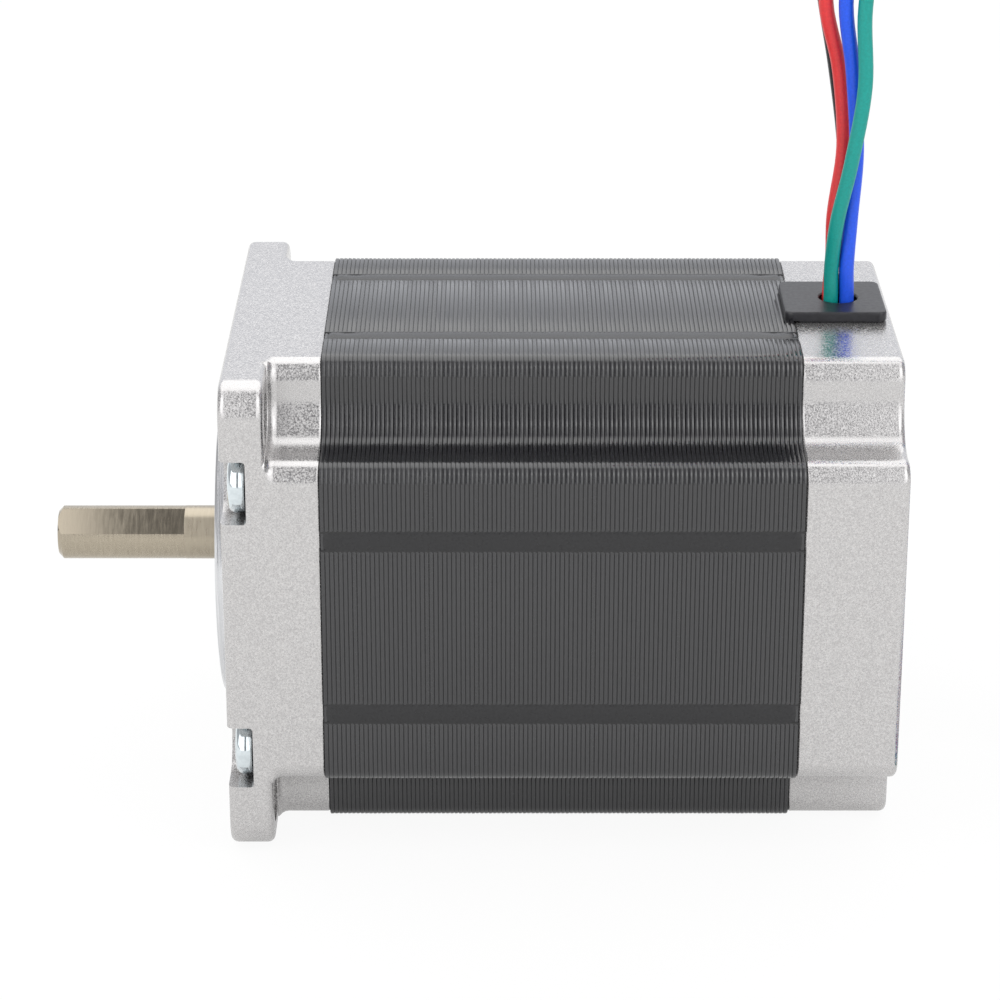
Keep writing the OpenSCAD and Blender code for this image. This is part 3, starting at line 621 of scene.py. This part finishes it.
small_edge = 0.15 * mm
casting_finish = finish_of("blasted casting", (0.44, 0.43, 0.43), (0.61, 0.6, 0.595), (0.08, 0.42),
    0.19 * mm, 0.012 * mm, metallic=0.88, detail=3)
machined_finish = finish_of("machined casting", (0.56, 0.565, 0.58), (0.72, 0.725, 0.74),
    (0.14, 0.26), 0.14 * mm, 0.004 * mm, metallic=1.0, marks=turning)
quarter_steps = [math.radians(90 * k / 5) for k in range(6)]
flange_profile = [(edge_round * (1 - math.cos(a)), edge_round * (1 - math.sin(a)))
    for a in quarter_steps]
flange_profile += [(flange_thickness - x, inset) for x, inset in reversed(flange_profile)]
front_casting = skin("front_casting", [at_x(x, rounded_square(cover_half, flange_corner, inset))
    for x, inset in flange_profile])
fillet = 1.1
neck_profile = [(4.1, -fillet * 0.98)]
neck_profile += [(flange_thickness + fillet * (1 - math.cos(a)), -fillet * (1 - math.sin(a)))
    for a in quarter_steps[1:]]
neck_profile += [(stack_start - 0.3, 0), (stack_start - 0.08, 0.08), (stack_start, 0.25)]
neck = skin("neck", [
    at_x(x, held_in(notched(cover_half, cover_floor, cover_corner, inset), cover_half))
    for x, inset in neck_profile])
combine(front_casting, neck, "UNION")
combine(front_casting, turned("boss", [(-boss_height, boss_radius - boss_edge),
    (boss_edge - boss_height, boss_radius), (0.9, boss_radius)], sides=160), "UNION")
combine(front_casting, turned("coil space", [(4.2, hub_radius), (4.2, coil_space_radius),
    (11.5, coil_space_radius), (11.5, hub_radius)], hollow=True))
combine(front_casting, turned("hub end", [(front_hub_end, 0.5),
    (front_hub_end, hub_radius + 0.5), (12, hub_radius + 0.5), (12, 0.5)], hollow=True))
combine(front_casting, turned("bearing seat", [(0.2, bearing_radius), (12, bearing_radius)]))
combine(front_casting, turned("front hole", [(-2, front_hole_radius), (0.5, front_hole_radius)]))
pocket_profile = [(-1, 0), (pocket_depth - 0.35, 0), (pocket_depth - 0.1, 0.1),
    (pocket_depth, 0.35)]


def pocket_ring(x, inset, sy, sz):
    """Outline of a screw pocket that is open to the side, as the corner's signs mirror it."""
    radius = pocket_radius - inset
    beyond = 30
    outline = [(beyond, screw_z - radius)] + arc((screw_y, screw_z), radius, 270, 90, 24)
    outline.append((beyond, screw_z + radius))
    return at_x(x, [(sy * y, sz * z) for y, z in outline])


for sy in (-1, 1):
    for sz in (-1, 1):
        bolt = (sy * bolt_place, sz * bolt_place)
        screw = (sy * screw_y, sz * screw_z)
        combine(front_casting, turned("bolt hole",
            [(-1, bolt_hole_radius), (6, bolt_hole_radius)], bolt, 48))
        combine(front_casting, turned("screw hole",
            [(-1, screw_hole_radius), (12, screw_hole_radius)], screw, 32))
        combine(front_casting, skin("pocket", [pocket_ring(x, inset, sy, sz)
            for x, inset in pocket_profile]))
soften(front_casting, small_edge)
front_casting.data.materials.append(casting_finish)
front_casting.data.materials.append(machined_finish)
machined_below = 0.02 * mm
for face in front_casting.data.polygons:
    if face.center.x < machined_below:
        face.material_index = 1
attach(front_casting, "stator")
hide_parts("front_cover")


# Rear casting
# Cast aluminium, bead blasted, with the same notched outline. The screws end in its four tapped
# holes, and a slot in its top takes the grommet.
rear_hub_end = 65.6
rear_seat_radius = bearing_radius + 0.05
recess_floor, recess_radius = 75.4, 10
slot_half, slot_floor, slot_end = 3.8, 24.15, 73
rear_profile = [(stack_end, 0.25), (stack_end + 0.08, 0.08), (stack_end + 0.3, 0)]
rear_profile += [(body_end - edge_round * (1 - math.cos(a)), edge_round * (1 - math.sin(a)))
    for a in reversed(quarter_steps)]
rear_casting = skin("rear_casting", [at_x(x, notched(cover_half, cover_floor, cover_corner, inset))
    for x, inset in rear_profile])
combine(rear_casting, turned("coil space", [(64, hub_radius), (64, coil_space_radius),
    (73, coil_space_radius), (73, hub_radius)], hollow=True))
combine(rear_casting, turned("hub end", [(64, 0.5), (64, hub_radius + 0.5),
    (rear_hub_end, hub_radius + 0.5), (rear_hub_end, 0.5)], hollow=True))
combine(rear_casting, turned("bearing seat", [(64, rear_seat_radius), (74, rear_seat_radius)]))
combine(rear_casting, turned("recess", [(recess_floor, recess_radius), (77, recess_radius)]))
combine(rear_casting, block("grommet slot", (64, -slot_half, slot_floor),
    (slot_end, slot_half, 30)))
for sy in (-1, 1):
    for sz in (-1, 1):
        screw = (sy * screw_y, sz * screw_z)
        combine(rear_casting, turned("screw hole",
            [(64, thread_radius), (77, thread_radius)], screw, 32))
soften(rear_casting, small_edge)
rear_casting.data.materials.append(casting_finish)
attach(rear_casting, "stator")
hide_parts("rear_cover")


# Grommet
# A moulded plate of black rubber that seals the leads' way out. Its edges and corners are rounded,
# and its stem fills the slot in the rear casting.
plate_top = 29.5
plate_x = (63.5, 75.2)
plate_half = 5.8
foot_top = 28.6
stem_half = 3.75
lead_hole_radius = 2.2


def plate_ring(z, inset, front=plate_x[0]):
    corner = 1 - min(inset, 0.4)
    middle = (front + plate_x[1]) / 2
    reach = ((plate_x[1] - front) / 2 - inset - corner, plate_half - inset - corner)
    ring = []
    for sx, sy, first in ((1, 1, 0), (-1, 1, 90), (-1, -1, 180), (1, -1, 270)):
        ring += arc((middle + sx * reach[0], sy * reach[1]), corner, first, first + 90, 5)
    return [Vector((x, y, z)) * mm for x, y in ring]


plate = skin("grommet_plate", [plate_ring(plate_top - drop, inset) for drop, inset in ((1.05, 0),
    (0.25, 0.02), (0.1, 0.08), (0.02, 0.2), (0, 0.35))])
foot = [plate_ring(z, 0.2, stack_end + 0.05) for z in (cover_half, foot_top)]
combine(plate, skin("foot", foot), "UNION")
combine(plate, block("stem", (64.55, -stem_half, 24.2), (72.95, stem_half, foot_top)), "UNION")


def upright(name, profile, sides=64):
    """A round piece standing at the leads' hole: circles at the profile's (z, radius) points."""
    rings = [[Vector((lead_x + radius * math.cos(a) * mm, radius * math.sin(a) * mm, z * mm))
        for a in (2 * math.pi * k / sides for k in range(sides))] for z, radius in profile]
    return skin(name, rings)


combine(plate, upright("lead hole", [(24, lead_hole_radius), (plate_top - 0.2, lead_hole_radius),
    (plate_top + 0.1, lead_hole_radius + 0.25)]))
soften(plate, 0.08 * mm)
plate.data.materials.append(finish_of("black rubber", (0.011, 0.011, 0.014), (0.018, 0.018, 0.022),
    (0.3, 0.42), 0.5 * mm, 0.012 * mm, ior=1.46))
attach(plate, "stator")
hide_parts("grommet")


# Screws
# Four pan-head screws of bright zinc-plated steel. Each goes through the front casting and the
# stack into a tapped hole of the rear casting, and has a cross recess that shows from the front.
zinc_finish = finish_of("bright zinc", (0.6, 0.655, 0.68), (0.7, 0.76, 0.785), (0.08, 0.14),
    0.6 * mm, 0.006 * mm, metallic=1.0)
head_top = 0.74
screw_profile = [(head_top, 1.7), (0.8, 2.4), (0.92, 2.9), (1.15, 3.2), (1.5, 3.36), (1.95, 3.4),
    (2.4, 3.36), (2.7, 3.22), (2.84, 2.9), (2.84, thread_radius), (body_end - 2, thread_radius),
    (body_end - 1.5, 1.6)]
deep, narrow, wide = 0.95, 0.5, 1.9
for sy, sz, number in ((-1, 1, 1), (1, 1, 2), (-1, -1, 3), (1, -1, 4)):
    middle = (sy * screw_y, sz * screw_z)
    screw = turned(f"screw_{number}", screw_profile, middle, 64)
    for reach_y, reach_z in ((narrow, wide), (wide, narrow)):
        combine(screw, block("recess", (0, middle[0] - reach_y, middle[1] - reach_z),
            (head_top + deep, middle[0] + reach_y, middle[1] + reach_z)))
    soften(screw, 0.06 * mm, 50)
    screw.data.materials.append(zinc_finish)
    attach(screw, "stator")
    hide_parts("assembly_screws")


# Shaft and everything inside
# The shaft is ground; its round part is duller than the flat. Inside: copper coils on moulded
# insulators, the connection board, and the rotor's cores and magnets between two shielded bearings.
ground_steel = finish_of("ground steel", (0.37, 0.325, 0.255), (0.43, 0.38, 0.3), (0.06, 0.1),
    0.3 * mm, 0.0003 * mm, metallic=1.0, marks=turning, stretch=(1, 0.1, 1))
shaft_tree = ground_steel.node_tree
shaft_place = shaft_tree.nodes.new("ShaderNodeSeparateXYZ")
shaft_tree.links.new(shaft_tree.nodes["marks"].outputs["Vector"], shaft_place.inputs["Vector"])
for socket, on_flat, on_round in (("Lowest roughness", 0.06, 0.26),
        ("Highest roughness", 0.1, 0.34)):
    dulled = shaft_tree.nodes.new("ShaderNodeMapRange")
    dulled.inputs["From Min"].default_value = 3.1 * mm
    dulled.inputs["From Max"].default_value = 3.16 * mm
    dulled.inputs["To Min"].default_value = on_flat
    dulled.inputs["To Max"].default_value = on_round
    shaft_tree.links.new(shaft_place.outputs["Y"], dulled.inputs["Value"])
    shaft_tree.links.new(dulled.outputs["Result"], shaft_tree.nodes["grain"].inputs[socket])
inner_finishes = {
    "rotor_shaft": ground_steel,
    "phase_a_coils phase_b_coils": finish_of("enamelled copper", (0.45, 0.16, 0.06),
        (0.72, 0.3, 0.12), (0.2, 0.35), 0.3 * mm, 0.03 * mm, metallic=1.0, stretch=(0.05, 1, 1)),
    "front_insulator rear_insulator": finish_of("white plastic", (0.74, 0.71, 0.64),
        (0.84, 0.82, 0.76), (0.4, 0.5), 0.8 * mm, 0.02 * mm),
    "connection_board": finish_of("circuit board", (0.01, 0.13, 0.05), (0.02, 0.19, 0.08),
        (0.3, 0.4), 0.6 * mm, 0.008 * mm),
    "solder_joints": tin_finish,
    "front_core_north front_core_south rear_core_south rear_core_north": finish_of("core steel",
        (0.26, 0.26, 0.27), (0.42, 0.42, 0.43), (0.3, 0.42), 0.5 * mm, 0.01 * mm, metallic=1.0,
        stretch=(4, 1, 1)),
    "front_magnet rear_magnet": finish_of("magnet", (0.09, 0.09, 0.1), (0.16, 0.16, 0.17),
        (0.4, 0.55), 0.25 * mm, 0.01 * mm, metallic=1.0),
    "rotor_spacer": finish_of("turned brass", (0.55, 0.36, 0.1), (0.75, 0.52, 0.18), (0.22, 0.32),
        0.3 * mm, 0.006 * mm, metallic=1.0),
    "front_bearing_outer front_bearing_inner front_bearing_balls front_bearing_cage "
    "front_bearing_shields rear_bearing_outer rear_bearing_inner rear_bearing_balls "
    "rear_bearing_cage rear_bearing_shields wave_washer": finish_of("bearing steel",
        (0.5, 0.5, 0.51), (0.62, 0.62, 0.63), (0.18, 0.28), 0.4 * mm, 0.004 * mm, metallic=1.0),
}
for names, finish in inner_finishes.items():
    for name in names.split():
        nodes[name].data.materials.clear()
        nodes[name].data.materials.append(finish)


# Studio
# A pale table with a bright wall behind, a wide soft box overhead and two boxes in front with a
# dark gap between them. The table and wall look white to the lens, and the table keeps the shadow.
floor_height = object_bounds()[0][2]
table_mesh = bpy.data.meshes.new("table")
table_build = bmesh.new()
bmesh.ops.create_grid(table_build, x_segments=1, y_segments=1, size=3)
table_build.to_mesh(table_mesh)
table_build.free()
table = link_piece("table", table_mesh)
table.location = (0.03, 0, floor_height)
table_finish = bpy.data.materials.new("pale table")
table_finish.use_nodes = True
table_tree = table_finish.node_tree
table_shader = table_tree.nodes["Principled BSDF"]
table_shader.inputs["Base Color"].default_value = (0.8, 0.8, 0.79, 1)
table_shader.inputs["Roughness"].default_value = 0.9
table.data.materials.append(table_finish)

# The table is nearly white to the lens, half as much so in reflections, and plain to the light.
lens_share = 0.92
reflection_share = 0.5
white_floor = table_tree.nodes.new("ShaderNodeEmission")
white_floor.inputs["Strength"].default_value = 1
seen = table_tree.nodes.new("ShaderNodeLightPath")
reflected = table_tree.nodes.new("ShaderNodeMath")
reflected.operation = "MULTIPLY"
reflected.inputs[1].default_value = reflection_share
table_tree.links.new(seen.outputs["Is Glossy Ray"], reflected.inputs[0])
direct = table_tree.nodes.new("ShaderNodeMath")
direct.operation = "MULTIPLY"
direct.inputs[1].default_value = lens_share
table_tree.links.new(seen.outputs["Is Camera Ray"], direct.inputs[0])
veil = table_tree.nodes.new("ShaderNodeMath")
veil.operation = "MAXIMUM"
table_tree.links.new(direct.outputs[0], veil.inputs[0])
table_tree.links.new(reflected.outputs[0], veil.inputs[1])
blend = table_tree.nodes.new("ShaderNodeMixShader")
table_tree.links.new(veil.outputs[0], blend.inputs["Fac"])
table_tree.links.new(table_shader.outputs["BSDF"], blend.inputs[1])
table_tree.links.new(white_floor.outputs["Emission"], blend.inputs[2])
table_tree.links.new(blend.outputs["Shader"], table_tree.nodes["Material Output"].inputs["Surface"])

world = bpy.data.worlds.new("studio")
bpy.context.scene.world = world
world.use_nodes = True
sky = world.node_tree
around = sky.nodes.new("ShaderNodeTexCoord")
parts = sky.nodes.new("ShaderNodeSeparateXYZ")
sky.links.new(around.outputs["Generated"], parts.inputs["Vector"])
height = sky.nodes.new("ShaderNodeMath")
height.operation = "ARCTAN2"
sky.links.new(parts.outputs["Z"], height.inputs[0])
sky.links.new(parts.outputs["Y"], height.inputs[1])
half_turn = sky.nodes.new("ShaderNodeMath")
half_turn.operation = "DIVIDE"
half_turn.inputs[1].default_value = math.pi
sky.links.new(height.outputs[0], half_turn.inputs[0])
ramp = sky.nodes.new("ShaderNodeValToRGB")
sky.links.new(half_turn.outputs[0], ramp.inputs["Fac"])
# Brightness by height: from the horizon behind, over the top, to the horizon in front.
bands = ((0, (0.49, 0.5, 0.525)), (0.15, (0.49, 0.5, 0.525)), (0.18, (1, 1, 1)), (0.48, (1, 1, 1)),
    (0.52, (0.14, 0.14, 0.145)), (1, (0.14, 0.14, 0.145)))
ramp.color_ramp.elements[0].color = (*bands[0][1], 1)
ramp.color_ramp.elements[1].color = (*bands[-1][1], 1)
for position, colour in bands[1:-1]:
    stop = ramp.color_ramp.elements.new(position)
    stop.color = (*colour, 1)
# The two boxes in front, beside a dark gap, and the dimmer ends of the room.
across = sky.nodes.new("ShaderNodeMath")
across.operation = "ABSOLUTE"
sky.links.new(parts.outputs["X"], across.inputs[0])
beside = sky.nodes.new("ShaderNodeMapRange")
beside.inputs["From Min"].default_value = 0.112
beside.inputs["From Max"].default_value = 0.122
sky.links.new(across.outputs[0], beside.inputs["Value"])
before = sky.nodes.new("ShaderNodeMapRange")
before.inputs["From Min"].default_value = 0.5
before.inputs["From Max"].default_value = 0.55
sky.links.new(half_turn.outputs[0], before.inputs["Value"])
both = sky.nodes.new("ShaderNodeMath")
both.operation = "MULTIPLY"
sky.links.new(beside.outputs["Result"], both.inputs[0])
sky.links.new(before.outputs["Result"], both.inputs[1])
side_boxes = sky.nodes.new("ShaderNodeMix")
side_boxes.data_type = "RGBA"
side_boxes.inputs["B"].default_value = (0.86, 0.86, 0.865, 1)
sky.links.new(both.outputs[0], side_boxes.inputs["Factor"])
sky.links.new(ramp.outputs["Color"], side_boxes.inputs["A"])
outside_boxes = sky.nodes.new("ShaderNodeMapRange")
outside_boxes.inputs["From Min"].default_value = 0.6
outside_boxes.inputs["From Max"].default_value = 0.78
sky.links.new(across.outputs[0], outside_boxes.inputs["Value"])
room = sky.nodes.new("ShaderNodeMix")
room.data_type = "RGBA"
room.inputs["B"].default_value = (0.25, 0.25, 0.255, 1)
sky.links.new(outside_boxes.outputs["Result"], room.inputs["Factor"])
sky.links.new(side_boxes.outputs["Result"], room.inputs["A"])
plain = sky.nodes.new("ShaderNodeBackground")
plain.inputs["Color"].default_value = (1, 1, 1, 1)
lit = sky.nodes["Background"]
lit.inputs["Strength"].default_value = 2
sky.links.new(room.outputs["Result"], lit.inputs["Color"])
seen_sky = sky.nodes.new("ShaderNodeLightPath")
choose = sky.nodes.new("ShaderNodeMixShader")
sky.links.new(seen_sky.outputs["Is Camera Ray"], choose.inputs["Fac"])
sky.links.new(lit.outputs["Background"], choose.inputs[1])
sky.links.new(plain.outputs["Background"], choose.inputs[2])
sky.links.new(choose.outputs["Shader"], sky.nodes["World Output"].inputs["Surface"])


def soft_box(name, place, size, power, colour=(1, 1, 1)):
    """A square lamp at the place, turned towards the motor."""
    light = bpy.data.lights.new(name, "AREA")
    light.shape = "RECTANGLE"
    light.size, light.size_y = size
    light.energy = power
    light.color = colour
    lamp = link_piece(name, light)
    lamp.location = place
    towards = Vector((0.035, 0, 0)) - Vector(place)
    lamp.rotation_euler = towards.to_track_quat("-Z", "Y").to_euler()
    return lamp


soft_box("left_box", (-0.6, -0.4, 0.4), (0.5, 0.75), 1.5)
soft_box("right_box", (0.7, -0.4, 0.4), (0.5, 0.75), 1.5)

scene = bpy.context.scene
scene.view_settings.view_transform = "Standard"
